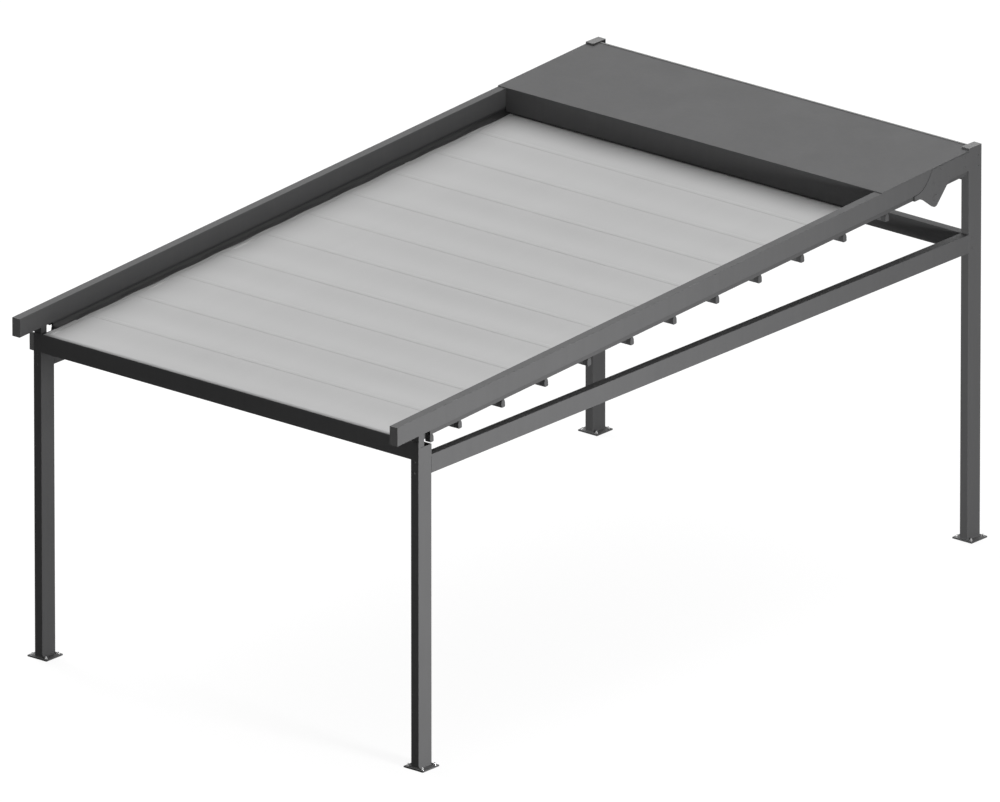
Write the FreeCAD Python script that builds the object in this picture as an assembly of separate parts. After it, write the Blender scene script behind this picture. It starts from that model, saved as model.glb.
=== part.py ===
import FreeCAD, Part
import math
import os

Vector = FreeCAD.Vector

# Terrace pergola: four posts carry a ring of beams, a front gutter and two sloping rails.
# A fabric roof hangs on battens below the rails and folds back under a hood at the rear.
# Millimetres. +X is to the right, +Y runs from the low front to the high rear, +Z is up.

# Footprint over the outer faces of the posts
outer_width = 4000.0
outer_depth = 7000.0

# Posts and base plates
post_width = 80.0
post_depth = 160.0
profile_wall = 3.0
profile_edge_radius = 4.0
front_post_height = 2600.0
rear_post_rise = 750.0
cap_plate = 3.0
cap_plug_depth = 18.0
cap_plug_play = 0.5
base_side = 200.0
base_thickness = 12.0
anchor_spacing = 150.0
anchor_hole_radius = 7.0

# Ring of beams under the roof and the beam behind the hood
ring_above_front_post = 16.0
ring_height = 156.0
rear_upper_beam_set_down = 50.0

# Rails: their slope follows from the height of their two ends
rail_height = 158.0
rail_set_down = 25.0
rail_rise_over_gutter = 366.5
rail_overhang = 257.0
rail_cap_plate = 5.0

# Guide track under each rail
track_width = 48.0
track_height = 42.0
track_wall = 3.0
track_slot = 14.0
track_front_set_back = 162.0
track_rear_gap = 5.0

# Gutter on the front posts
gutter_wall = 4.0
gutter_floor = 3.0
gutter_front_height = 154.0
gutter_rear_height = 106.0
gutter_lip = 12.0
gutter_end_plate = 3.0
gutter_end_box_depth = 41.0
gutter_end_slant = 12.0

# Feet that carry the rails' front ends in the gutter
foot_wall = 4.0
foot_depth = 66.0
foot_side_gap = 1.0
foot_front_gap = 4.0

# Fabric roof and its bars
fabric_below_track = 12.0
fabric_thickness = 2.0
fabric_side_gap = 20.0
bar_width = 44.0
bar_height = 62.0
bar_wall = 2.5
bar_edge_radius = 6.0
seat_gap = 0.3
batten_pitch = 530.0
last_batten_to_rear_bar = 522.0
front_bar_to_first_batten = 400.0
front_bar_gap = 2.0

# Roller carriages
shoe_past_rail = 48.0
shoe_neck_width = 30.0
stem_width = 10.0
roller_radius = 15.0
roller_width = 8.0
roller_side_gap = 5.0
roller_sides = 12
axle_radius = 4.0
axle_sides = 6
axle_head = 8.0
arm_thickness = 8.0
arm_height = 38.0
arm_below_fabric = 2.0
front_carriage_set_back = 200.0

# Hood over the folded roof
hood_length = 1100.0
hood_tongue = 100.0
hood_rise = 8.0
hood_sheet = 3.0
hood_post_gap = 1.0
fascia_sheet = 3.0
fascia_above_fabric = 16.0
fascia_top_flange = 30.0
fascia_bottom_flange = 22.0
fascia_set_back = 1.0

# Side cheek at the rear end of each rail
cheek_thickness = 6.0
cheek_reach = 690.0
cheek_top_reach = 462.0
cheek_curve_foot = 140.0
cheek_curve_lean = 63.0
cheek_kink_reach = 605.0
cheek_kink_radius = 90.0
cheek_nose_reach = 430.0
cheek_nose_drop = 182.0
cheek_nose_radius = 42.0
cheek_tail_reach = 255.0
cheek_lip_wall = 3.0
cheek_lip_gap = 1.0

# Places worked out from the sizes above
half_width = outer_width / 2
front_face = -outer_depth / 2
rear_face = outer_depth / 2
front_post_back = front_face + post_depth
rear_post_front = rear_face - post_depth
post_x = half_width - post_width / 2
post_inner_x = half_width - post_width
front_post_y = front_face + post_depth / 2
rear_post_y = rear_face - post_depth / 2

rear_post_height = front_post_height + rear_post_rise
ring_top = front_post_height + ring_above_front_post
rail_tip = front_face - rail_overhang
rail_rear_top = rear_post_height - rail_set_down
rail_front_top = front_post_height + rail_rise_over_gutter
slope = (rail_rear_top - rail_front_top) / (rear_post_front - front_face)
roof_fall = math.degrees(math.atan(slope))
track_front = front_face + track_front_set_back
track_rear = rear_post_front - track_rear_gap
track_bottom_drop = rail_height + track_height

fabric_drop = track_bottom_drop + fabric_below_track
bar_drop = fabric_drop + fabric_thickness + seat_gap
fabric_half_width = post_inner_x - fabric_side_gap
rear_bar_y = rear_post_front + post_depth / 2 - bar_width / 2
last_batten_y = rear_bar_y - last_batten_to_rear_bar
front_bar_y = front_face + gutter_wall + foot_front_gap + bar_width / 2
batten_room = last_batten_y - front_bar_y - front_bar_to_first_batten
batten_count = 1 + int(batten_room / batten_pitch)
front_carriage_y = front_face + front_carriage_set_back
front_bar_half = post_inner_x - front_bar_gap - arm_thickness - foot_side_gap
hood_front = rear_post_front - hood_length
hood_back = rear_post_front + hood_tongue
gutter_half = half_width - gutter_end_plate
gutter_base = front_post_height
rear_upper_beam_top = rear_post_height - rear_upper_beam_set_down

# The part's origin is on the floor, in the middle of its bounding box.
front_reach = -rail_tip
rear_reach = rear_post_y + base_side / 2
origin_shift = Vector(0, (front_reach - rear_reach) / 2, 0)


# Height of the rails' top plane at a place along the roof
def roof_height(y):
    return rail_rear_top + slope * (y - rear_post_front)


# Rounded rectangle in the XY plane, centred on the origin
def rounded_rectangle(width, height, radius):
    x = width / 2
    y = height / 2
    inset = radius * (1 - math.sqrt(0.5))
    arcs = []
    for side, level in ((1, 1), (-1, 1), (-1, -1), (1, -1)):
        upright = Vector(side * x, level * (y - radius), 0)
        level_end = Vector(side * (x - radius), level * y, 0)
        middle = Vector(side * (x - inset), level * (y - inset), 0)
        ends = (upright, level_end) if side == level else (level_end, upright)
        arcs.append((ends[0], middle, ends[1]))
    edges = []
    for i, (start, middle, end) in enumerate(arcs):
        edges.append(Part.Arc(start, middle, end).toShape())
        edges.append(Part.makeLine(end, arcs[(i + 1) % 4][0]))
    return Part.Wire(edges)


# Plain rectangle in the XY plane, centred on the origin
def plain_rectangle(width, height):
    x = width / 2
    y = height / 2
    corners = [Vector(-x, -y, 0), Vector(x, -y, 0), Vector(x, y, 0), Vector(-x, y, 0)]
    return Part.makePolygon(corners + corners[:1])


# Wall section of an extruded tube
def tube_face(width, height, wall, radius):
    outer = rounded_rectangle(width, height, radius)
    inner = plain_rectangle(width - 2 * wall, height - 2 * wall)
    return Part.makeFace([outer, inner], "Part::FaceMakerBullseye")


# Round bar along X with flat sides, its section as wide across the corners as the radius asks
def faceted_bar(x, z, radius, length, sides):
    corners = []
    for i in range(sides + 1):
        turn = 2 * math.pi * (i + 0.5) / sides
        corners.append(Vector(x, radius * math.cos(turn), z + radius * math.sin(turn)))
    return Part.Face(Part.makePolygon(corners)).extrude(Vector(length, 0, 0))


# A section drawn in XY turned to stand across the Y axis
def across_y(shape):
    return shape.rotated(Vector(0, 0, 0), Vector(1, 0, 0), 90)


# A section drawn in XY turned to stand across the X axis
def across_x(shape):
    return shape.rotated(Vector(0, 0, 0), Vector(1, 1, 1), 120)


# Closed outline in the YZ plane from pairs of y and z, extruded along X
def plate_across_x(points, x0, x1):
    corners = [Vector(x0, y, z) for y, z in points]
    face = Part.Face(Part.makePolygon(corners + corners[:1]))
    return face.extrude(Vector(x1 - x0, 0, 0))


# A section across Y run along the roof, its centre a given drop below the rails' top
def run_with_roof(face, x, y0, y1, drop):
    start = Vector(x, y0, roof_height(y0) - drop)
    path = Vector(0, y1 - y0, slope * (y1 - y0))
    return face.translated(start).extrude(path)


# Block between two widths and two drops below the rails' top, running along the roof
def roof_block(x0, x1, y0, y1, top_drop, bottom_drop):
    face = across_y(Part.Face(plain_rectangle(x1 - x0, bottom_drop - top_drop)))
    return run_with_roof(face, (x0 + x1) / 2, y0, y1, (top_drop + bottom_drop) / 2)


# A shape modelled flat, tilted into the roof plane at a given drop below the rails' top
def set_in_roof(shape, y, drop):
    tilted = shape.rotated(Vector(0, 0, 0), Vector(1, 0, 0), roof_fall)
    return tilted.translated(Vector(0, y, roof_height(y) - drop))


# The left twin of a right-hand shape
def mirrored(shape):
    return shape.mirror(Vector(0, 0, 0), Vector(1, 0, 0))


# Post: an upright tube that stands on its base plate
def make_post(x, y, top):
    face = tube_face(post_width, post_depth, profile_wall, profile_edge_radius)
    return face.translated(Vector(x, y, base_thickness)).extrude(Vector(0, 0, top - base_thickness))


# Base plate with four anchor holes
def make_base_plate(x, y):
    outline = plain_rectangle(base_side, base_side)
    holes = []
    for side in (-1, 1):
        for end in (-1, 1):
            centre = Vector(side * anchor_spacing / 2, end * anchor_spacing / 2, 0)
            holes.append(Part.Wire(Part.makeCircle(anchor_hole_radius, centre)))
    face = Part.makeFace([outline] + holes, "Part::FaceMakerBullseye")
    return face.translated(Vector(x, y, 0)).extrude(Vector(0, 0, base_thickness))


# Cap on a rear post: a plate with a plug that fits inside the tube
def make_post_cap(x, y):
    plate_face = Part.Face(rounded_rectangle(post_width, post_depth, profile_edge_radius))
    plug_cut = 2 * (profile_wall + cap_plug_play)
    plug_face = Part.Face(plain_rectangle(post_width - plug_cut, post_depth - plug_cut))
    plate_bottom = rear_post_height - cap_plate
    plate = plate_face.translated(Vector(x, y, plate_bottom)).extrude(Vector(0, 0, cap_plate))
    plug = plug_face.translated(Vector(x, y, plate_bottom)).extrude(Vector(0, 0, -cap_plug_depth))
    return plate.fuse(plug).removeSplitter()


# Side beam between a front post and a rear post
def make_side_beam(x):
    face = across_y(tube_face(post_width, ring_height, profile_wall, profile_edge_radius))
    start = Vector(x, front_post_back, ring_top - ring_height / 2)
    return face.translated(start).extrude(Vector(0, rear_post_front - front_post_back, 0))


# Cross beam between the two rear posts
def make_cross_beam(front, top):
    face = across_x(tube_face(post_width, ring_height, profile_wall, profile_edge_radius))
    start = Vector(-post_inner_x, front + post_width / 2, top - ring_height / 2)
    return face.translated(start).extrude(Vector(2 * post_inner_x, 0, 0))


# Gutter: an open trough, taller in front, with a folded lip on its rear wall
def make_gutter():
    floor_top = gutter_base + gutter_floor
    front_top = gutter_base + gutter_front_height
    rear_top = gutter_base + gutter_rear_height
    front_inside = front_face + gutter_wall
    rear_inside = front_post_back - gutter_wall
    lip_edge = rear_inside - gutter_lip
    points = [
        (front_face, gutter_base), (front_post_back, gutter_base), (front_post_back, rear_top),
        (lip_edge, rear_top), (lip_edge, rear_top - gutter_wall),
        (rear_inside, rear_top - gutter_wall), (rear_inside, floor_top),
        (front_inside, floor_top), (front_inside, front_top), (front_face, front_top),
    ]
    return plate_across_x(points, -gutter_half, gutter_half)


# Closing plate or box on one end of the gutter, with the trough's own outline
def make_gutter_end(x0, x1):
    front_top = gutter_base + gutter_front_height
    rear_top = gutter_base + gutter_rear_height
    points = [
        (front_face, gutter_base), (front_post_back, gutter_base), (front_post_back, rear_top),
        (front_face + gutter_wall + gutter_end_slant, rear_top),
        (front_face + gutter_wall, front_top), (front_face, front_top),
    ]
    return plate_across_x(points, x0, x1)


# Rail: a deep tube that slopes with the roof, from its tip to the rear post
def make_rail():
    face = across_y(tube_face(post_width, rail_height, profile_wall, profile_edge_radius))
    return run_with_roof(face, post_x, rail_tip + rail_cap_plate, rear_post_front, rail_height / 2)


# End cap on the tip of a rail
def make_rail_cap():
    plug_cut = 2 * (profile_wall + cap_plug_play)
    plate_face = across_y(Part.Face(rounded_rectangle(post_width, rail_height, profile_edge_radius)))
    plug_face = across_y(Part.Face(plain_rectangle(post_width - plug_cut, rail_height - plug_cut)))
    seat = rail_tip + rail_cap_plate
    plate = run_with_roof(plate_face, post_x, rail_tip, seat, rail_height / 2)
    plug = run_with_roof(plug_face, post_x, seat, seat + cap_plug_depth, rail_height / 2)
    return plate.fuse(plug).removeSplitter()


# Guide track: a channel under the rail with a slot along its underside
def make_track():
    width = track_width
    block = roof_block(post_x - width / 2, post_x + width / 2, track_front, track_rear,
                       rail_height, track_bottom_drop)
    room = width / 2 - track_wall
    cavity = roof_block(post_x - room, post_x + room, track_front - track_wall,
                        track_rear + track_wall, rail_height + track_wall,
                        track_bottom_drop - track_wall)
    slot = roof_block(post_x - track_slot / 2, post_x + track_slot / 2, track_front - track_wall,
                      track_rear + track_wall, rail_height + track_wall,
                      track_bottom_drop + track_wall)
    return block.cut(cavity.fuse(slot)).removeSplitter()


# Foot: an upright tube that stands in the gutter and is cut to the rail's underside
def make_rail_foot():
    width = post_width - 2 * gutter_end_plate - 2 * foot_side_gap
    x = half_width - gutter_end_plate - foot_side_gap - width / 2
    y = front_face + gutter_wall + foot_front_gap + foot_depth / 2
    outer = plain_rectangle(width, foot_depth)
    inner = plain_rectangle(width - 2 * foot_wall, foot_depth - 2 * foot_wall)
    face = Part.makeFace([outer, inner], "Part::FaceMakerBullseye")
    base = gutter_base + gutter_floor
    column = face.translated(Vector(x, y, base)).extrude(Vector(0, 0, rail_rear_top - base))
    above = roof_block(x - post_width, x + post_width, y - post_depth, y + post_depth,
                       -rear_post_height, rail_height)
    return column.cut(above)


# Bar of the roof: a tube with rounded edges, its top in the roof plane
def make_bar(y, half_length):
    face = across_x(tube_face(bar_width, bar_height, bar_wall, bar_edge_radius))
    flat = face.translated(Vector(-half_length, 0, -bar_height / 2))
    return set_in_roof(flat.extrude(Vector(2 * half_length, 0, 0)), y, bar_drop)


# Roller pair on an axle, carried by the stem that passes down through the slot
def make_trolley():
    roller_drop = track_bottom_drop - track_wall - seat_gap - roller_radius
    axle_z = (bar_drop - roller_drop) * math.cos(math.radians(roof_fall))
    room = track_width / 2 - track_wall - roller_side_gap / 2
    axle = faceted_bar(post_x - room, axle_z, axle_radius, 2 * room, axle_sides)
    left = faceted_bar(post_x - room, axle_z, roller_radius, roller_width, roller_sides)
    right = left.translated(Vector(2 * room - roller_width, 0, 0))
    stem = Part.makeBox(stem_width, shoe_neck_width, axle_z + axle_head,
                        Vector(post_x - stem_width / 2, -shoe_neck_width / 2, 0))
    return axle.fuse([left, right, stem])


# Shoe on the end of a batten: as deep as the batten and tapered up to the stem
def make_shoe(x0):
    half = bar_width / 2
    neck = shoe_neck_width / 2
    shoulder = -bar_height / 3
    points = [
        (-half + bar_edge_radius, -bar_height), (half - bar_edge_radius, -bar_height),
        (half, -bar_height + bar_edge_radius), (half, shoulder), (neck, 0),
        (-neck, 0), (-half, shoulder), (-half, -bar_height + bar_edge_radius),
    ]
    return plate_across_x(points, x0, post_inner_x + shoe_past_rail)


# Carriage at the end of a batten
def make_carriage(y):
    return set_in_roof(make_trolley().fuse(make_shoe(post_inner_x)), y, bar_drop)


# Carriage of the front bar, with an arm that reaches forward past the rail's foot
def make_front_carriage():
    head = make_trolley().fuse(make_shoe(front_bar_half + arm_thickness))
    carriage = set_in_roof(head, front_carriage_y, bar_drop)
    arm_top = fabric_drop + fabric_thickness + arm_below_fabric
    arm = roof_block(front_bar_half, front_bar_half + arm_thickness,
                     front_bar_y - bar_width / 2, front_carriage_y + bar_width / 2,
                     arm_top, arm_top + arm_height)
    return carriage.fuse(arm).removeSplitter()


# Fabric: one thin sheet from the front bar to the rear bar
def make_fabric():
    return roof_block(-fabric_half_width, fabric_half_width, front_bar_y - bar_width / 2,
                      rear_bar_y + bar_width / 2, fabric_drop, fabric_drop + fabric_thickness)


# Hood sheet: a shallow tray on the rails, with a tongue between the rear posts
def make_hood():
    tongue_x = post_inner_x - hood_post_gap
    body = roof_block(-half_width, half_width, hood_front, rear_post_front - hood_post_gap,
                      -hood_rise, 0)
    tongue = roof_block(-tongue_x, tongue_x, rear_post_front - hood_post_gap, hood_back,
                        -hood_rise, 0)
    pocket = roof_block(-half_width + hood_sheet, half_width - hood_sheet,
                        hood_front + hood_sheet, rear_post_front - hood_post_gap - hood_sheet,
                        hood_sheet - hood_rise, hood_rise)
    tongue_pocket = roof_block(-tongue_x + hood_sheet, tongue_x - hood_sheet,
                               rear_post_front - post_width, hood_back - hood_sheet,
                               hood_sheet - hood_rise, hood_rise)
    rear_flange = plate_across_x([
        (hood_back - hood_sheet, rear_upper_beam_top), (hood_back, rear_upper_beam_top),
        (hood_back, roof_height(hood_back)),
        (hood_back - hood_sheet, roof_height(hood_back - hood_sheet)),
    ], -tongue_x, tongue_x)
    tray = body.fuse(tongue).cut(pocket.fuse(tongue_pocket))
    return tray.fuse(rear_flange).removeSplitter()


# Fascia: a folded sheet between the rails that closes the front of the hood
def make_fascia():
    front = hood_front + hood_sheet + fascia_set_back
    back = front + fascia_sheet
    seat = hood_rise - hood_sheet
    bottom = roof_height(front) - fabric_drop + fascia_above_fabric
    top_end = front + fascia_top_flange
    bottom_end = front + fascia_bottom_flange
    points = [
        (front, roof_height(front) + seat), (top_end, roof_height(top_end) + seat),
        (top_end, roof_height(top_end) + seat - fascia_sheet),
        (back, roof_height(back) + seat - fascia_sheet),
        (back, bottom + fascia_sheet), (bottom_end, bottom + fascia_sheet),
        (bottom_end, bottom), (front, bottom),
    ]
    return plate_across_x(points, -post_inner_x, post_inner_x)


# Where two straight lines in the YZ plane cross
def crossing(start, along, other_start, other_along):
    apart = other_start - start
    turn = along.y * other_along.z - along.z * other_along.y
    return start + along * ((apart.y * other_along.z - apart.z * other_along.y) / turn)


# The corners of an open path in the YZ plane, moved a given way to the left of its run
def inset_corners(corners, wall):
    runs = []
    for start, end in zip(corners, corners[1:]):
        along = (end - start).normalize()
        runs.append((start + Vector(0, -along.z, along.y) * wall, along))
    inner = [runs[0][0]]
    for (start, along), (other_start, other_along) in zip(runs, runs[1:]):
        inner.append(crossing(start, along, other_start, other_along))
    inner.append(runs[-1][0] + (corners[-1] - corners[-2]))
    return inner


# Straight runs between corners in the YZ plane, with an arc of a given radius at each bend
def filleted_path(corners, radii):
    edges = []
    here = corners[0]
    for before, corner, after, radius in zip(corners, corners[1:], corners[2:], radii):
        back = (before - corner).normalize()
        ahead = (after - corner).normalize()
        half_angle = back.getAngle(ahead) / 2
        cut = radius / math.tan(half_angle)
        middle = (back + ahead).normalize() * (radius / math.sin(half_angle) - radius)
        edges.append(Part.makeLine(here, corner + back * cut))
        edges.append(Part.Arc(corner + back * cut, corner + middle, corner + ahead * cut).toShape())
        here = corner + ahead * cut
    edges.append(Part.makeLine(here, corners[-1]))
    return edges


# Point of the cheek's outline, by its reach in front of the rear post and its drop
def cheek_point(reach, drop):
    y = rear_post_front - reach
    return Vector(half_width, y, roof_height(y) - drop)


# Cheek: a cover plate on the rail's outer face, with a lip folded in under its nose
def make_cheek():
    low_front = cheek_point(cheek_reach, track_bottom_drop)
    mid_front = cheek_point(cheek_reach, rail_height)
    top_front = cheek_point(cheek_top_reach, 0)
    corners = [
        low_front, cheek_point(cheek_kink_reach, track_bottom_drop),
        cheek_point(cheek_nose_reach, rail_height + cheek_nose_drop),
        cheek_point(cheek_tail_reach, rail_height),
    ]
    radii = [cheek_kink_radius, cheek_nose_radius]
    lower = filleted_path(corners, radii)
    curve = Part.BezierCurve()
    curve.setPoles([mid_front, mid_front + Vector(0, cheek_curve_foot, slope * cheek_curve_foot),
                    top_front - Vector(0, cheek_curve_lean, rail_height / 2), top_front])
    low_rear = cheek_point(0, rail_height)
    top_rear = cheek_point(0, 0)
    outline = Part.Wire(lower + [
        Part.makeLine(corners[-1], low_rear), Part.makeLine(low_rear, top_rear),
        Part.makeLine(top_rear, top_front), curve.toShape(), Part.makeLine(mid_front, low_front),
    ])
    plate = Part.Face(outline).extrude(Vector(cheek_thickness, 0, 0))
    inner_radii = [cheek_kink_radius + cheek_lip_wall, cheek_nose_radius - cheek_lip_wall]
    inner_corners = inset_corners(corners, cheek_lip_wall)
    inner = filleted_path(inner_corners, inner_radii)
    band = Part.Wire(lower + [Part.makeLine(corners[-1], inner_corners[-1])] + inner[::-1]
                     + [Part.makeLine(inner_corners[0], low_front)])
    lip_depth = (post_width - track_width) / 2 - cheek_lip_gap
    lip = Part.Face(band).extrude(Vector(-lip_depth, 0, 0))
    behind_rail = roof_block(post_inner_x, half_width, low_front.y, rear_post_front,
                             -rail_height, rail_height)
    return plate.fuse(lip.cut(behind_rail)).removeSplitter()


nodes = {}
nodes["front_gutter"] = make_gutter()
nodes["gutter_right_end_cap"] = make_gutter_end(gutter_half, half_width)
nodes["gutter_left_end_box"] = make_gutter_end(-half_width - gutter_end_box_depth, -gutter_half)

for end, y, top in (("front", front_post_y, front_post_height),
                    ("rear", rear_post_y, rear_post_height - cap_plate)):
    for side, x in (("left", -post_x), ("right", post_x)):
        nodes[f"{end}_{side}_post"] = make_post(x, y, top)
        nodes[f"{end}_{side}_base_plate"] = make_base_plate(x, y)

nodes["rear_left_post_cap"] = make_post_cap(-post_x, rear_post_y)
nodes["rear_right_post_cap"] = make_post_cap(post_x, rear_post_y)
nodes["left_side_beam"] = make_side_beam(-post_x)
nodes["right_side_beam"] = make_side_beam(post_x)
nodes["rear_lower_beam"] = make_cross_beam(rear_post_front, ring_top)
nodes["rear_upper_beam"] = make_cross_beam(rear_face - post_width, rear_upper_beam_top)

for name, shape in (("rail", make_rail()), ("rail_front_cap", make_rail_cap()),
                    ("guide_track", make_track()), ("rail_cheek", make_cheek())):
    nodes[f"right_{name}"] = shape
    nodes[f"left_{name}"] = mirrored(shape)

foot = make_rail_foot()
nodes["rail_feet"] = Part.makeCompound([foot, mirrored(foot)])

batten_ys = [last_batten_y - batten_pitch * i for i in reversed(range(batten_count))]
nodes["front_bar"] = make_bar(front_bar_y, front_bar_half)
for number, y in enumerate(batten_ys, start=1):
    nodes[f"batten_{number:02d}"] = make_bar(y, post_inner_x)
nodes["rear_fixing_bar"] = make_bar(rear_bar_y, post_inner_x)

carriages = [make_front_carriage()] + [make_carriage(y) for y in batten_ys]
nodes["right_carriages"] = Part.makeCompound(carriages)
nodes["left_carriages"] = Part.makeCompound([mirrored(shape) for shape in carriages])

nodes["canopy_fabric"] = make_fabric()
nodes["hood_sheet"] = make_hood()
nodes["hood_fascia"] = make_fascia()

os.makedirs("parts", exist_ok=True)
for name, shape in nodes.items():
    placed = shape.translated(origin_shift)
    placed.exportStep(f"parts/{name}.step")
    print(f"{name}: {len(placed.Solids)} solids, valid {placed.isValid()}, "
          f"{placed.Volume / 1000:.1f} cm3")
print("nodes", len(nodes))
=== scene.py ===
import math

import bmesh
import bpy
from mathutils import Matrix, Vector


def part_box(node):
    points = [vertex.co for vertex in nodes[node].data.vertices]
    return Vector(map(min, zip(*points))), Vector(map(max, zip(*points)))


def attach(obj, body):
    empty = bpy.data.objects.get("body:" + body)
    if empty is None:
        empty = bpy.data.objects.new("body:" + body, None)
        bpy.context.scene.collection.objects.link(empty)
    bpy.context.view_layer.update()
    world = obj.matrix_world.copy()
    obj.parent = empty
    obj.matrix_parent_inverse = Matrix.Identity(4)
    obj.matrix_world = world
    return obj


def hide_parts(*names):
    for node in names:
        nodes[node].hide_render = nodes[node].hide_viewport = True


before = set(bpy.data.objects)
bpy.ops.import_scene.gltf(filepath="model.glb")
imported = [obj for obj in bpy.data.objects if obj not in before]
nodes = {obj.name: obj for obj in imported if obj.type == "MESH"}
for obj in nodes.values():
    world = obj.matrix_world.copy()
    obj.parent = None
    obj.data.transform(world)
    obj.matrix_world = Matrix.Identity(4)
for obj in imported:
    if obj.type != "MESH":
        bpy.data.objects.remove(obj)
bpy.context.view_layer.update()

# Terrace pergola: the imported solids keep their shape, and everything here dresses them.
# Lengths are in metres, and colours are linear.

print("frame loaded:", len(nodes), "nodes")


# A socket that can be added, subtracted, multiplied and raised like a number
class Term:
    def __init__(self, finish, socket):
        self.finish = finish
        self.socket = socket

    def maths(self, operation, first, second):
        return self.finish.node("ShaderNodeMath", {"operation": operation}, {0: first, 1: second})

    def __add__(self, other):
        return self.maths("ADD", self, other)

    def __sub__(self, other):
        return self.maths("SUBTRACT", self, other)

    def __mul__(self, other):
        return self.maths("MULTIPLY", self, other)

    def __pow__(self, other):
        return self.maths("POWER", self, other)

    def __rsub__(self, other):
        return self.maths("SUBTRACT", other, self)

    __radd__ = __add__
    __rmul__ = __mul__

    def sine(self):
        return self.maths("SINE", self, 0.0)

    def smallest(self, other):
        return self.maths("MINIMUM", self, other)

    def largest(self, other):
        return self.maths("MAXIMUM", self, other)


# One material or world tree, filled by expressions
class Finish:
    def __init__(self, owner):
        owner.use_nodes = True
        self.owner = owner
        self.tree = owner.node_tree
        self.tree.nodes.clear()

    def node(self, kind, settings=None, sockets=None, output=0):
        made = self.tree.nodes.new(kind)
        for name, value in (settings or {}).items():
            setattr(made, name, value)
        for key, value in (sockets or {}).items():
            if isinstance(value, Term):
                self.tree.links.new(value.socket, made.inputs[key])
            else:
                made.inputs[key].default_value = value
        return None if output is None else Term(self, made.outputs[output])

    def shade(self, value):
        return self.node("ShaderNodeCombineColor", {}, {0: value, 1: value, 2: value})

    def place(self, stretch=(1.0, 1.0, 1.0)):
        spot = self.node("ShaderNodeTexCoord", {}, {}, "Object")
        return self.node("ShaderNodeMapping", {}, {"Vector": spot, "Scale": stretch})

    def noise(self, spot, scale, detail=2.0):
        return self.node("ShaderNodeTexNoise", {}, {"Vector": spot, "Scale": scale, "Detail": detail})

    def spread(self, value, low, high, outLow, outHigh):
        return self.node("ShaderNodeMapRange", {}, {0: value, 1: low, 2: high, 3: outLow, 4: outHigh})

    def parts(self, vector):
        return [self.node("ShaderNodeSeparateXYZ", {}, {0: vector}, axis) for axis in range(3)]

    def bump(self, height, strength, distance, normal=None):
        sockets = {"Strength": strength, "Distance": distance, "Height": height}
        if normal is not None:
            sockets["Normal"] = normal
        return self.node("ShaderNodeBump", {}, sockets)

    # 1 for the rays that should meet a white backdrop, 0 for those that light the object
    def backdropRays(self):
        ways = ("Is Camera Ray", "Is Glossy Ray", "Is Transmission Ray")
        camera, glossy, through = [self.node("ShaderNodeLightPath", {}, {}, way) for way in ways]
        return (camera + glossy + through).smallest(1.0)

    def surface(self, second=None, share=0.0, **sockets):
        named = {name.replace("_", " "): value for name, value in sockets.items()}
        shader = self.node("ShaderNodeBsdfPrincipled", {}, named)
        if second is not None:
            shader = self.node("ShaderNodeMixShader", {}, {0: share, 1: shader, 2: second})
        self.node("ShaderNodeOutputMaterial", {}, {"Surface": shader}, None)
        return self.owner


# Fine powder coat: a matt skin with a faint orange peel, dust on level faces and soft rain streaks
def powderCoat(name, level, grain=1.0, tint=(1.0, 1.0, 1.015)):
    coat = {"roughness": 0.6, "roughSpread": 0.12, "specular": 0.12, "mottle": 0.05, "streak": 0.05,
            "dust": 0.06, "speck": 0.09, "peel": 0.4, "peelDepth": 0.0007}
    finish = Finish(bpy.data.materials.new(name))
    broad = finish.noise(finish.place(), 2.6, 3.0)
    streaks = finish.noise(finish.place((9.0, 9.0, 0.7)), 2.2, 3.0)
    specks = finish.noise(finish.place(), 420.0, 2.0)
    peel = finish.noise(finish.place(), 620.0 * grain, 2.0)
    facing = finish.parts(finish.node("ShaderNodeNewGeometry", {}, {}, "Normal"))[2]
    dust = finish.spread(facing, 0.4, 1.0, 0.0, 1.0) * finish.noise(finish.place(), 7.0, 4.0)
    value = 1.0 + (broad - 0.5) * (2 * coat["mottle"]) + (streaks - 0.5) * (2 * coat["streak"])
    value = (value + dust * coat["dust"] + (specks - 0.5) * coat["speck"]) * level
    colour = finish.node("ShaderNodeCombineColor", {},
                         {0: value * tint[0], 1: value * tint[1], 2: value * tint[2]})
    rough = coat["roughness"] + (broad - 0.5 + dust) * coat["roughSpread"]
    normal = finish.bump(peel, coat["peel"], coat["peelDepth"])
    return finish.surface(Base_Color=colour, Roughness=rough, Normal=normal,
                          Specular_IOR_Level=coat["specular"])


# Moulded plastic with a fine spark-eroded grain
def mouldedPlastic(name, level):
    plastic = {"mottle": 0.12, "roughness": 0.5, "roughSpread": 0.2, "specular": 0.4,
               "grain": 0.3, "grainDepth": 0.0003}
    finish = Finish(bpy.data.materials.new(name))
    grain = finish.noise(finish.place(), 1500.0)
    broad = finish.noise(finish.place(), 5.0)
    value = (1.0 + (broad - 0.5) * plastic["mottle"]) * level
    return finish.surface(Base_Color=finish.shade(value),
                          Roughness=plastic["roughness"] + (grain - 0.5) * plastic["roughSpread"],
                          Normal=finish.bump(grain, plastic["grain"], plastic["grainDepth"]),
                          Specular_IOR_Level=plastic["specular"])


# Zinc-plated fasteners, clouded in colour and gloss
def platedSteel(name):
    zinc = {"level": 0.34, "cloud": 0.16, "roughness": 0.34, "roughSpread": 0.2, "bump": 0.2,
            "bumpDepth": 0.0003}
    finish = Finish(bpy.data.materials.new(name))
    cloud = finish.noise(finish.place(), 160.0, 3.0)
    value = zinc["level"] + cloud * zinc["cloud"]
    return finish.surface(Base_Color=finish.shade(value), Metallic=1.0,
                          Roughness=zinc["roughness"] + (cloud - 0.5) * zinc["roughSpread"],
                          Normal=finish.bump(cloud, zinc["bump"], zinc["bumpDepth"]))


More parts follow.
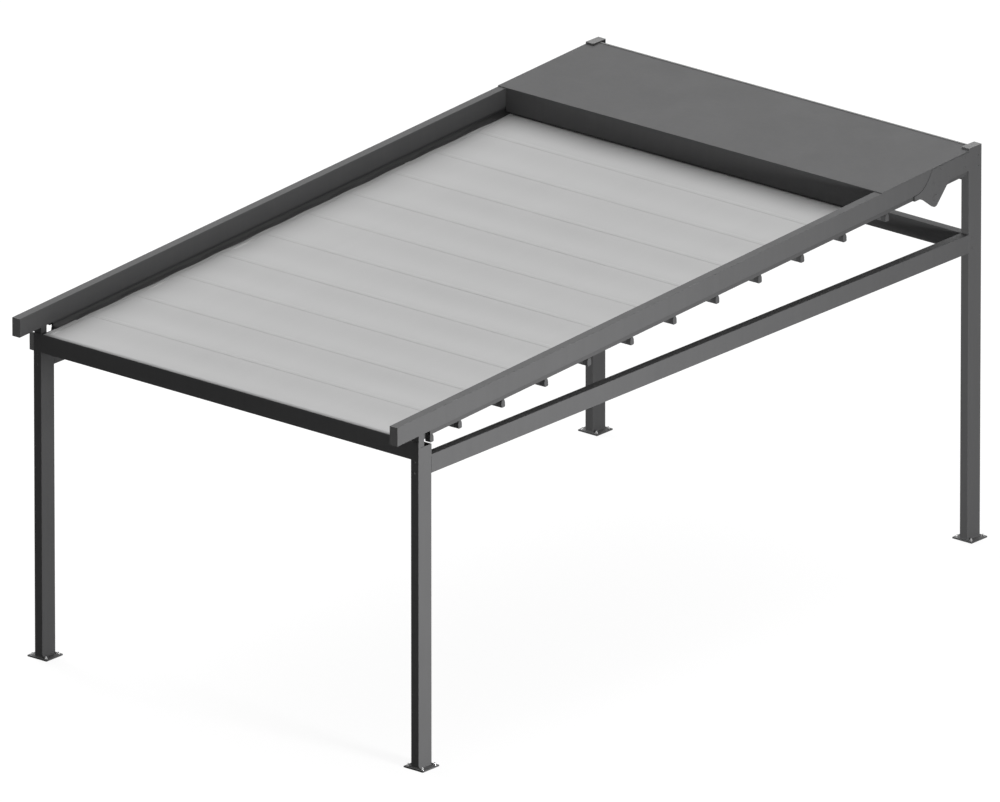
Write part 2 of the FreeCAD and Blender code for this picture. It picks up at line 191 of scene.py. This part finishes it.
# Coated cloth: a plain weave under a matt coat, with painted shade in a narrow band along each batten, and
# faint runs
def coatedCloth(name, batten, level):
    cloth = {"thread": 0.0011, "weaveBump": 0.16, "weaveDepth": 0.0002, "weaveShade": 0.012,
             "wash": 0.03, "runs": 0.03, "drawn": 0.005, "crease": 0.35, "creaseDepth": 0.004,
             "through": 0.12, "roughness": 0.75, "roughSpread": 0.1, "specular": 0.06}
    finish = Finish(bpy.data.materials.new(name))
    across, along = finish.parts(finish.place())[:2]
    turns = 2 * math.pi / cloth["thread"]
    warp = (across * turns).sine()
    weft = (along * turns).sine()
    weave = warp * weft
    wash = finish.noise(finish.place((1.3, 0.16, 1.0)), 1.7, 4.0)
    runs = finish.noise(finish.place((5.0, 0.25, 1.0)), 2.4, 3.0)
    lanes = ((along - batten["first"]) * (2 * math.pi / batten["pitch"]) + math.pi / 2).sine()
    # Painted shade: a narrow band of the cloth along each batten is darkened
    battenShadeMask = finish.spread(lanes, 0.86, 1.0, 0.0, 1.0)
    value = 1.0 + (wash - 0.5) * (2 * cloth["wash"])
    value = value + (runs - 0.5) * cloth["runs"] - battenShadeMask * cloth["drawn"]
    value = (value + weave * cloth["weaveShade"]) * level
    creases = finish.noise(finish.place((2.2, 0.9, 1.0)), 3.0, 3.0)
    threads = finish.bump(weave, cloth["weaveBump"], cloth["weaveDepth"])
    normal = finish.bump(creases, cloth["crease"], cloth["creaseDepth"], threads)
    through = finish.node("ShaderNodeBsdfTranslucent", {}, {"Color": (level, level, level, 1.0)})
    return finish.surface(through, cloth["through"], Base_Color=finish.shade(value),
                          Roughness=cloth["roughness"] + (wash - 0.5) * cloth["roughSpread"],
                          Normal=normal, Specular_IOR_Level=cloth["specular"])


# The middle of a solid's box
def middle(name):
    low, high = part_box(name)
    return (low + high) / 2


battenCount = 12
battenRows = [middle(f"batten_{i:02d}").y for i in range(1, battenCount + 1)]
barRows = [middle("front_bar").y, *battenRows, middle("rear_fixing_bar").y]
batten = {"first": battenRows[0], "pitch": (battenRows[-1] - battenRows[0]) / (battenCount - 1)}

look = {
    "frame": powderCoat("frameCoat", 0.092),
    "sheet": powderCoat("hoodCoat", 0.092, 0.8),
    "track": powderCoat("trackCoat", 0.075),
    "bar": powderCoat("battenCoat", 0.115),
    "base": powderCoat("plateCoat", 0.09, 0.7),
    "cast": powderCoat("carriageCoat", 0.075, 0.5),
    "plastic": mouldedPlastic("capPlastic", 0.05),
    "boxEnd": mouldedPlastic("endBoxPlastic", 0.085),
    "bolt": platedSteel("platedSteel"),
    "cloth": coatedCloth("canopyCloth", batten, 0.545),
    "seam": coatedCloth("seamCloth", batten, 0.545),
    # Near-black seal rubber: the fascia brush's own colour, and painted shade on the side lips and the
    # hood's rear strip
    "brush": mouldedPlastic("sealRubberAndPaintedShade", 0.03),
}
print("finishes made:", len(look))

# Every carried-over solid gets the finish of its own trade
finishOf = {
    "base_plate": "base", "carriages": "cast", "guide_track": "track", "hood": "sheet",
    "batten": "bar", "bar": "bar", "post_cap": "plastic", "front_cap": "plastic",
    "end_cap": "frame", "end_box": "boxEnd",
}
for name, node in nodes.items():
    chosen = next((finishName for word, finishName in finishOf.items() if word in name), "frame")
    node.data.materials.clear()
    node.data.materials.append(look[chosen])
print("solids dressed")


# A finished mesh piece that rides with the pergola
def addPiece(name, mesh, finishName):
    bmesh.ops.recalc_face_normals(mesh, faces=mesh.faces)
    data = bpy.data.meshes.new(name)
    mesh.to_mesh(data)
    mesh.free()
    piece = bpy.data.objects.new(name, data)
    bpy.context.scene.collection.objects.link(piece)
    data.materials.append(look[finishName])
    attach(piece, "root")
    return piece


# Roof plane read from the cloth's own solid: height of its underside at a place along the roof
clothLow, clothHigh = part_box("canopy_fabric")
clothWidth, clothLength = clothHigh.x - clothLow.x, clothHigh.y - clothLow.y
clothForm = {"solid": 0.002, "sag": 0.0135, "sagSpread": 0.15, "hemHold": 0.55, "edgePull": 0.003,
             "ripple": 0.0026, "fineRipple": 0.6, "seat": 0.0012, "thickness": 0.0012,
             "columns": 44, "rowsPerSpan": 12}
roofSlope = (clothHigh.z - clothLow.z - clothForm["solid"]) / clothLength


def clothUnderside(y):
    return clothHigh.z - clothForm["solid"] + roofSlope * (y - clothHigh.y)


# How far between two neighbouring bars a place along the roof lies, from 0 to 1, and which span
def spanShare(y):
    for start, end in zip(barRows, barRows[1:]):
        if start <= y <= end:
            return (y - start) / (end - start), barRows.index(start)
    return 0.0, 0


# A place on the hanging cloth: drawn in and slack between the battens, stiffer along its hems
def clothPlace(across, y, lift=0.0):
    share, span = spanShare(y)
    wave = math.sin(math.pi * share) ** 2
    x = across * (clothWidth / 2 - clothForm["edgePull"] * wave)
    uneven = 1.0 + clothForm["sagSpread"] * (math.sin(span * 2.1) - 1.0)
    slack = clothForm["sag"] * uneven * (1.0 - clothForm["hemHold"] * across ** 8)
    ripple = math.sin(across * 5.0 + span * 1.7) * math.sin(span * 0.9 + 1.0)
    ripple += clothForm["fineRipple"] * math.sin(across * 11.0 - span * 2.3 + share * 2.0)
    z = clothUnderside(y) + clothForm["seat"] + lift
    return Vector((x, y, z + wave * (clothForm["ripple"] * ripple - slack)))


# Gives a sheet of faces its thickness and smooth shading
def thicken(piece, thickness):
    for face in piece.data.polygons:
        face.use_smooth = True
    body = piece.modifiers.new("body", "SOLIDIFY")
    body.thickness = thickness
    body.offset = 0.0


# Roof cloth: one sheet drawn over the battens, hanging a little between them
def makeCloth():
    mesh = bmesh.new()
    rows = clothForm["rowsPerSpan"] * (len(barRows) - 1)
    bmesh.ops.create_grid(mesh, x_segments=clothForm["columns"], y_segments=rows, size=0.5)
    for vert in mesh.verts:
        vert.co = clothPlace(vert.co.x * 2, clothLow.y + (vert.co.y + 0.5) * clothLength)
    piece = addPiece("canopyCloth", mesh, "cloth")
    thicken(piece, clothForm["thickness"])
    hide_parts("canopy_fabric")
    return piece


clothPiece = makeCloth()
print("cloth stretched over", len(barRows), "bars")


# Welded tapes over the battens and hems along both sides, laid on the cloth
def makeSeams():
    tape = {"width": 0.046, "thickness": 0.0005, "lift": 0.00085, "reach": 0.999, "rows": 9,
            "hem": 0.040, "hemColumns": 6}
    mesh = bmesh.new()
    for row in barRows[1:-1]:
        made = bmesh.ops.create_grid(mesh, x_segments=clothForm["columns"], y_segments=tape["rows"],
                                     size=0.5)
        for vert in made["verts"]:
            across = vert.co.x * 2 * tape["reach"]
            vert.co = clothPlace(across, row + vert.co.y * tape["width"], tape["lift"])
    for side in (-1, 1):
        rows = clothForm["rowsPerSpan"] * (len(barRows) - 1)
        made = bmesh.ops.create_grid(mesh, x_segments=tape["hemColumns"], y_segments=rows, size=0.5)
        for vert in made["verts"]:
            inner = 1.0 - (0.5 - vert.co.x) * tape["hem"] * 2 / clothWidth
            y = clothLow.y + (vert.co.y + 0.5) * clothLength
            vert.co = clothPlace(side * inner, y, tape["lift"] + tape["thickness"])
    piece = addPiece("clothSeams", mesh, "seam")
    thicken(piece, tape["thickness"])
    return piece


seamPiece = makeSeams()
print("seams welded")


# Rubber lips clipped to the guide tracks, which wipe along the cloth's side edges; they close the gap
# beside the cloth, and their near-black colour is painted shade for the shaded band under each rail
def makeSideLipsPaintedShade():
    lip = {"thickness": 0.0018, "foot": 0.034, "rows": 160, "lap": 0.016, "endGap": 0.004}
    mesh = bmesh.new()
    for side, name in ((-1, "left_guide_track"), (1, "right_guide_track")):
        low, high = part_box(name)
        inner = high.x if side < 0 else -low.x
        clip = abs(inner) - lip["thickness"] / 2
        rim = clothWidth / 2 - lip["lap"]
        # Distance from the middle, height over the roof plane, share of the hem's own height
        profile = [(clip, lip["foot"], 0.0), (clip - 0.0015, 0.022, 0.0), (clip - 0.006, 0.014, 0.2),
                   (clip - 0.015, 0.0085, 0.6), (rim + 0.014, 0.0039, 1.0), (rim, 0.0031, 1.0)]
        start, end = low.y + lip["endGap"], min(high.y, clothHigh.y) - lip["endGap"]
        made = bmesh.ops.create_grid(mesh, x_segments=len(profile) - 1, y_segments=lip["rows"], size=0.5)
        for vert in made["verts"]:
            x, lift, follow = profile[round((vert.co.x + 0.5) * (len(profile) - 1))]
            y = start + (vert.co.y + 0.5) * (end - start)
            hem = clothPlace(1.0, y).z - clothUnderside(y)
            vert.co = Vector((side * x, y, clothUnderside(y) + lift + follow * hem))
    piece = addPiece("sideLipsPaintedShade", mesh, "brush")
    thicken(piece, lip["thickness"])
    return piece


makeSideLipsPaintedShade()
print("side lips fitted")


# Turns local +Z to a given direction and moves to a place
def aim(place, direction):
    return Matrix.Translation(place) @ Vector(direction).to_track_quat("Z", "Y").to_matrix().to_4x4()


# Button-head screw with a round socket, standing on a face
def buttonScrew(mesh, place, direction, radius, height):
    screw = {"sides": 18, "topShare": 0.62, "socketRim": 0.22, "socketDepth": 0.55}
    head = bmesh.new()
    bmesh.ops.create_cone(head, cap_ends=True, segments=screw["sides"], radius1=radius,
                          radius2=radius * screw["topShare"], depth=height)
    top = [face for face in head.faces if face.normal.z > 0.9]
    bmesh.ops.inset_region(head, faces=top, thickness=radius * screw["socketRim"], depth=0.0)
    top = [face for face in head.faces if face.normal.z > 0.9 and len(face.verts) == screw["sides"]]
    sunk = bmesh.ops.extrude_discrete_faces(head, faces=top)
    for face in sunk["faces"]:
        bmesh.ops.translate(head, verts=face.verts, vec=(0, 0, -height * screw["socketDepth"]))
    bmesh.ops.translate(head, verts=head.verts, vec=(0, 0, height / 2))
    bmesh.ops.transform(head, matrix=aim(place, direction), verts=head.verts)
    joinInto(mesh, head)


# Copies one bmesh into another and frees it
def joinInto(mesh, part):
    part.verts.index_update()
    copied = [mesh.verts.new(vert.co) for vert in part.verts]
    for face in part.faces:
        made = mesh.faces.new([copied[vert.index] for vert in face.verts])
        made.smooth = face.smooth
    part.free()


# Ground anchors: washer, nut and the end of the stud in each hole of the base plates
def makeAnchors():
    anchor = {"spacing": 0.150, "turn": 0.4, "rimShare": 0.14, "sunk": 0.008,
              "washer": (20, 0.012, 0.0025), "nut": (6, 0.0108, 0.010), "stud": (12, 0.006, 0.030)}
    # Each with its sides, radius and height, and then how high its foot lies
    stack = [(anchor["washer"], 0.0), (anchor["nut"], anchor["washer"][2]),
             (anchor["stud"], -anchor["sunk"])]
    mesh = bmesh.new()
    for end in ("front", "rear"):
        for side in ("left", "right"):
            low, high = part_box(f"{end}_{side}_base_plate")
            centre = (low + high) / 2
            for stepX in (-0.5, 0.5):
                for stepY in (-0.5, 0.5):
                    foot = Vector((centre.x + stepX * anchor["spacing"],
                                   centre.y + stepY * anchor["spacing"], high.z))
                    for (sides, radius, height), base in stack:
                        piece = bmesh.new()
                        bmesh.ops.create_cone(piece, cap_ends=True, segments=sides, radius1=radius,
                                              radius2=radius, depth=height)
                        rims = [edge for edge in piece.edges
                                if all(vert.co.z > 0 for vert in edge.verts)]
                        bmesh.ops.bevel(piece, geom=rims, offset=radius * anchor["rimShare"],
                                        segments=2, profile=0.5, affect="EDGES", material=-1)
                        turn = Matrix.Rotation(anchor["turn"] * stepX + stepY, 3, "Z")
                        bmesh.ops.rotate(piece, cent=(0, 0, 0), verts=piece.verts, matrix=turn)
                        bmesh.ops.translate(piece, verts=piece.verts,
                                            vec=foot + Vector((0, 0, base + height / 2)))
                        joinInto(mesh, piece)
    return addPiece("anchorBolts", mesh, "bolt")


# Weld bead round the foot of each post, in short overlapping ripples
def makeWelds():
    weld = {"size": 0.007, "ripple": 0.0026, "lift": 0.0013, "cornerRadius": 0.0042, "beats": 63}
    mesh = bmesh.new()
    for end in ("front", "rear"):
        for side in ("left", "right"):
            low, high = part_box(f"{end}_{side}_post")
            centre, half = (low + high) / 2, (high - low) / 2
            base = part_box(f"{end}_{side}_base_plate")[1].z
            bead = bmesh.new()
            bmesh.ops.create_cube(bead, size=1.0)
            for vert in bead.verts:
                grow = weld["size"] if vert.co.z < 0 else 0.0
                vert.co = Vector((math.copysign(half.x + grow, vert.co.x),
                                  math.copysign(half.y + grow, vert.co.y),
                                  0.0 if vert.co.z < 0 else weld["size"]))
            caps = [face for face in bead.faces if abs(face.normal.z) > 0.9]
            bmesh.ops.delete(bead, geom=caps, context="FACES_ONLY")
            corners = [edge for edge in bead.edges if edge.verts[0].co.z != edge.verts[1].co.z]
            bmesh.ops.bevel(bead, geom=corners, offset=weld["cornerRadius"], segments=4, profile=0.5,
                            affect="EDGES", material=-1)
            sides = [edge for edge in bead.edges if edge.calc_length() > weld["size"] * 5]
            bmesh.ops.subdivide_edges(bead, edges=sides, cuts=weld["beats"])
            upright = [edge for edge in bead.edges
                       if abs(edge.verts[0].co.z - edge.verts[1].co.z) > weld["size"] / 2]
            bmesh.ops.subdivide_edges(bead, edges=upright, cuts=3)
            for vert in bead.verts:
                swell = math.sin(math.pi * vert.co.z / weld["size"])
                beat = abs(math.sin((vert.co.x + vert.co.y) / weld["ripple"]))
                onSide = abs(vert.co.x) > half.x - weld["cornerRadius"]
                outward = Vector((1.0, 0, 0)) if onSide else Vector((0, 1.0, 0))
                outward *= math.copysign(1.0, outward.dot(vert.co))
                vert.co += outward * weld["lift"] * swell * (0.3 + beat)
            bmesh.ops.translate(bead, verts=bead.verts, vec=Vector((centre.x, centre.y, base)))
            for face in bead.faces:
                face.smooth = True
            joinInto(mesh, bead)
    return addPiece("footWelds", mesh, "base")


makeAnchors()
makeWelds()
print("feet bolted and welded")


# Screws through the joints of the ring, on the posts' outer faces
def makeJointScrews():
    joint = {"rise": 0.045, "radius": 0.0085, "height": 0.0045}
    mesh = bmesh.new()
    for side, sign in (("left", -1), ("right", 1)):
        centreZ = middle(f"{side}_side_beam").z
        for end in ("front", "rear"):
            low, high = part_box(f"{end}_{side}_post")
            outerY = low.y if end == "front" else high.y
            back = -1 if end == "front" else 1
            for lift in (-1, 1):
                place = Vector(((low.x + high.x) / 2, outerY, centreZ + lift * joint["rise"]))
                buttonScrew(mesh, place, (0, back, 0), joint["radius"], joint["height"])
        low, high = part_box(f"rear_{side}_post")
        faceX = high.x if sign > 0 else low.x
        for beam in ("rear_lower_beam", "rear_upper_beam"):
            middleZ = middle(beam).z
            for lift in (-1, 1):
                place = Vector((faceX, middle(beam).y, middleZ + lift * joint["rise"]))
                buttonScrew(mesh, place, (sign, 0, 0), joint["radius"], joint["height"])
    return addPiece("jointScrews", mesh, "frame")


# Screws and the round cover on the cheeks at the rear ends of the rails
def makeCheekTrim():
    trim = {"coverRadius": 0.030, "coverHeight": 0.006, "coverTop": 0.9, "coverSpot": (0.375, 0.22),
            "rim": 0.006, "rimDepth": 0.002, "screw": 0.0095, "screwHeight": 0.0045,
            "spots": [(0.34, 0.60), (0.62, 0.60), (0.92, 0.66), (0.92, 0.90), (0.47, 0.86)]}
    mesh = bmesh.new()
    for side, sign in (("left", -1), ("right", 1)):
        low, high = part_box(f"{side}_rail_cheek")
        faceX = high.x if sign > 0 else low.x
        size = high - low
        for shareY, shareZ in trim["spots"]:
            place = Vector((faceX, low.y + shareY * size.y, low.z + shareZ * size.z))
            buttonScrew(mesh, place, (sign, 0, 0), trim["screw"], trim["screwHeight"])
        cover = bmesh.new()
        bmesh.ops.create_cone(cover, cap_ends=True, segments=32, radius1=trim["coverRadius"],
                              radius2=trim["coverRadius"] * trim["coverTop"], depth=trim["coverHeight"])
        outer = [face for face in cover.faces if face.normal.z > 0.9]
        bmesh.ops.inset_region(cover, faces=outer, thickness=trim["rim"], depth=-trim["rimDepth"])
        bmesh.ops.translate(cover, verts=cover.verts, vec=(0, 0, trim["coverHeight"] / 2))
        shareY, shareZ = trim["coverSpot"]
        place = Vector((faceX, low.y + shareY * size.y, low.z + shareZ * size.z))
        bmesh.ops.transform(cover, matrix=aim(place, (sign, 0, 0)), verts=cover.verts)
        joinInto(mesh, cover)
    return addPiece("cheekTrim", mesh, "frame")


# Blind rivets along both sides of the hood
def makeRivets():
    rivet = {"radius": 0.006, "height": 0.0022, "inset": 0.022, "spacing": 0.24, "hoodRise": 0.008,
             "sunk": 0.0004, "topShare": 0.45}
    mesh = bmesh.new()
    low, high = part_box("hood_sheet")
    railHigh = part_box("right_rail")[1]
    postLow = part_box("rear_right_post")[0]
    hoodTop = railHigh.z + rivet["hoodRise"]
    length = postLow.y - low.y
    count = int((length - 2 * rivet["inset"]) / rivet["spacing"])
    step = (length - 2 * rivet["inset"]) / count
    for side in (-1, 1):
        for i in range(count + 1):
            y = low.y + rivet["inset"] + i * step
            z = hoodTop + roofSlope * (y - railHigh.y)
            place = Vector((side * (high.x - rivet["inset"]), y, z - rivet["sunk"]))
            dome = bmesh.new()
            bmesh.ops.create_cone(dome, cap_ends=True, segments=12, radius1=rivet["radius"],
                                  radius2=rivet["radius"] * rivet["topShare"], depth=rivet["height"])
            bmesh.ops.transform(dome, matrix=aim(place, (0, -roofSlope, 1)), verts=dome.verts)
            joinInto(mesh, dome)
    return addPiece("hoodRivets", mesh, "sheet")


# Brush seal that hangs from the fascia down to the cloth
def makeBrush():
    brush = {"depth": 0.006, "reach": 0.013, "inset": 0.012, "tufts": 380, "ragged": 0.0012,
             "beat": 977.0, "tuck": 0.001, "setBack": 0.011}
    mesh = bmesh.new()
    low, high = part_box("hood_fascia")
    width = high.x - low.x - 2 * brush["inset"]
    made = bmesh.ops.create_grid(mesh, x_segments=brush["tufts"], y_segments=1, size=0.5)
    for vert in made["verts"]:
        ragged = brush["ragged"] * math.sin(vert.co.x * brush["beat"]) if vert.co.y < 0 else 0.0
        z = low.z + brush["tuck"] if vert.co.y > 0 else low.z - brush["reach"] + ragged
        vert.co = Vector((vert.co.x * width, low.y + brush["setBack"], z))
    piece = addPiece("fasciaBrush", mesh, "brush")
    body = piece.modifiers.new("body", "SOLIDIFY")
    body.thickness = brush["depth"]
    body.offset = 0.0
    return piece


# Rubber strip along the hood's rear edge, where it closes against the posts' cross beam; its near-black
# colour is painted shade, a dark line standing in for the shadow along that edge
def makeHoodSealPaintedShade():
    strip = {"width": 0.022, "height": 0.006, "inset": 0.004, "edge": 0.0015, "tuck": 0.001,
             "sunk": 0.0005}
    low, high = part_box("hood_sheet")
    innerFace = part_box("rear_left_post")[1].x
    length = -2 * (innerFace + strip["inset"])
    mesh = bmesh.new()
    bmesh.ops.create_cube(mesh, size=1.0)
    for vert in mesh.verts:
        vert.co = Vector((vert.co.x * length, vert.co.y * strip["width"], vert.co.z * strip["height"]))
    bmesh.ops.bevel(mesh, geom=mesh.edges[:], offset=strip["edge"], segments=2, profile=0.5,
                    affect="EDGES", material=-1)
    place = Vector((0.0, high.y - strip["width"] / 2 - strip["tuck"], high.z - strip["sunk"]))
    bmesh.ops.translate(mesh, verts=mesh.verts, vec=place)
    return addPiece("hoodSealPaintedShade", mesh, "brush")


makeHoodSealPaintedShade()
makeJointScrews()
makeCheekTrim()
makeRivets()
makeBrush()
print("small fasteners and seals added")


# Pale floor: white to the camera, but a dim bounce to the object, and it keeps the shadow
def makeFloor():
    floor = {"size": 400.0, "glow": 0.90, "seen": 0.12, "bounce": 0.08}
    mesh = bmesh.new()
    bmesh.ops.create_grid(mesh, x_segments=1, y_segments=1, size=floor["size"] / 2)
    data = bpy.data.meshes.new("floor")
    mesh.to_mesh(data)
    mesh.free()
    piece = bpy.data.objects.new("floor", data)
    bpy.context.scene.collection.objects.link(piece)
    finish = Finish(bpy.data.materials.new("paleFloor"))
    seen = finish.backdropRays()
    dim = finish.node("ShaderNodeBsdfDiffuse", {}, {"Color": (floor["bounce"],) * 3 + (1.0,)})
    lit = finish.node("ShaderNodeBsdfDiffuse", {}, {"Color": (floor["seen"],) * 3 + (1.0,)})
    glow = finish.node("ShaderNodeEmission", {}, {"Color": (1.0, 1.0, 1.0, 1.0), "Strength": floor["glow"]})
    bright = finish.node("ShaderNodeAddShader", {}, {0: lit, 1: glow})
    mixed = finish.node("ShaderNodeMixShader", {}, {0: seen, 1: dim, 2: bright})
    finish.node("ShaderNodeOutputMaterial", {}, {"Surface": mixed}, None)
    data.materials.append(finish.owner)
    return piece


# World: white to the camera, and to the object a sky that is brightest straight up
def makeWorld():
    sky = {"zenith": 0.95, "rim": 0.012, "gather": 4.0}
    world = bpy.data.worlds.new("studio")
    bpy.context.scene.world = world
    finish = Finish(world)
    seen = finish.backdropRays()
    up = finish.parts(finish.node("ShaderNodeTexCoord", {}, {}, "Generated"))[2].largest(0.0)
    level = up ** sky["gather"] * sky["zenith"] + sky["rim"]
    strength = seen + (1.0 - seen) * level
    glow = finish.node("ShaderNodeBackground", {}, {"Color": (1.0, 1.0, 1.0, 1.0), "Strength": strength})
    finish.node("ShaderNodeOutputWorld", {}, {"Surface": glow}, None)


# A lamp that shines from a place towards a target
def addLamp(name, kind, place, target, energy, spread):
    data = bpy.data.lights.new(name, kind)
    data.energy = energy
    if kind == "SUN":
        data.angle = spread
    else:
        data.shape = "RECTANGLE"
        data.size, data.size_y = spread
    lamp = bpy.data.objects.new(name, data)
    lamp.location = place
    lamp.rotation_mode = "QUATERNION"
    lamp.rotation_quaternion = (Vector(target) - Vector(place)).to_track_quat("-Z", "Y")
    bpy.context.scene.collection.objects.link(lamp)
    return lamp


makeFloor()
makeWorld()
studio = {"key": (-5.4, 5.2, 9.4), "keyEnergy": 2.75, "keySpread": math.radians(66.0),
          "side": (12.0, -3.2, 2.8), "sideEnergy": 1650.0, "sideSize": (2.4, 2.4),
          "back": (-15.0, 1.5, 3.0), "backEnergy": 1500.0, "backSize": (5.0, 3.0)}
addLamp("keySun", "SUN", studio["key"], (0, 0, 0), studio["keyEnergy"], studio["keySpread"])
addLamp("sideLamp", "AREA", studio["side"], (0, -1.0, 2.0), studio["sideEnergy"], studio["sideSize"])
addLamp("backLamp", "AREA", studio["back"], (0, 0, 1.6), studio["backEnergy"], studio["backSize"])
print("stage lit")


# Camera: a very long lens far away, so that the view is as flat as the photograph's
def makeCamera():
    shot = {"azimuth": math.radians(40.0), "elevation": math.radians(20.0), "metresAcross": 8.0,
            "lens": 1370.0, "sensor": 36.0, "photoWidth": 1000.0, "photoHeight": 802.0,
            "originX": 499.9, "originY": 600.4}
    back = Vector((math.sin(shot["azimuth"]) * math.cos(shot["elevation"]),
                   -math.cos(shot["azimuth"]) * math.cos(shot["elevation"]),
                   math.sin(shot["elevation"])))
    right = Vector((math.cos(shot["azimuth"]), math.sin(shot["azimuth"]), 0.0))
    up = back.cross(right)
    metresPerPixel = shot["metresAcross"] / shot["photoWidth"]
    target = right * ((shot["photoWidth"] / 2 - shot["originX"]) * metresPerPixel)
    target += up * ((shot["originY"] - shot["photoHeight"] / 2) * metresPerPixel)
    data = bpy.data.cameras.new("camera")
    data.lens = shot["lens"]
    data.sensor_width = shot["sensor"]
    distance = shot["metresAcross"] / (shot["sensor"] / shot["lens"])
    data.clip_start, data.clip_end = distance * 0.1, distance * 2
    camera = bpy.data.objects.new("camera", data)
    camera.location = target + back * distance
    camera.rotation_mode = "QUATERNION"
    camera.rotation_quaternion = (-back).to_track_quat("-Z", "Y")
    bpy.context.scene.collection.objects.link(camera)
    bpy.context.scene.camera = camera


makeCamera()
bpy.context.scene.view_settings.view_transform = "Standard"
print("camera set")
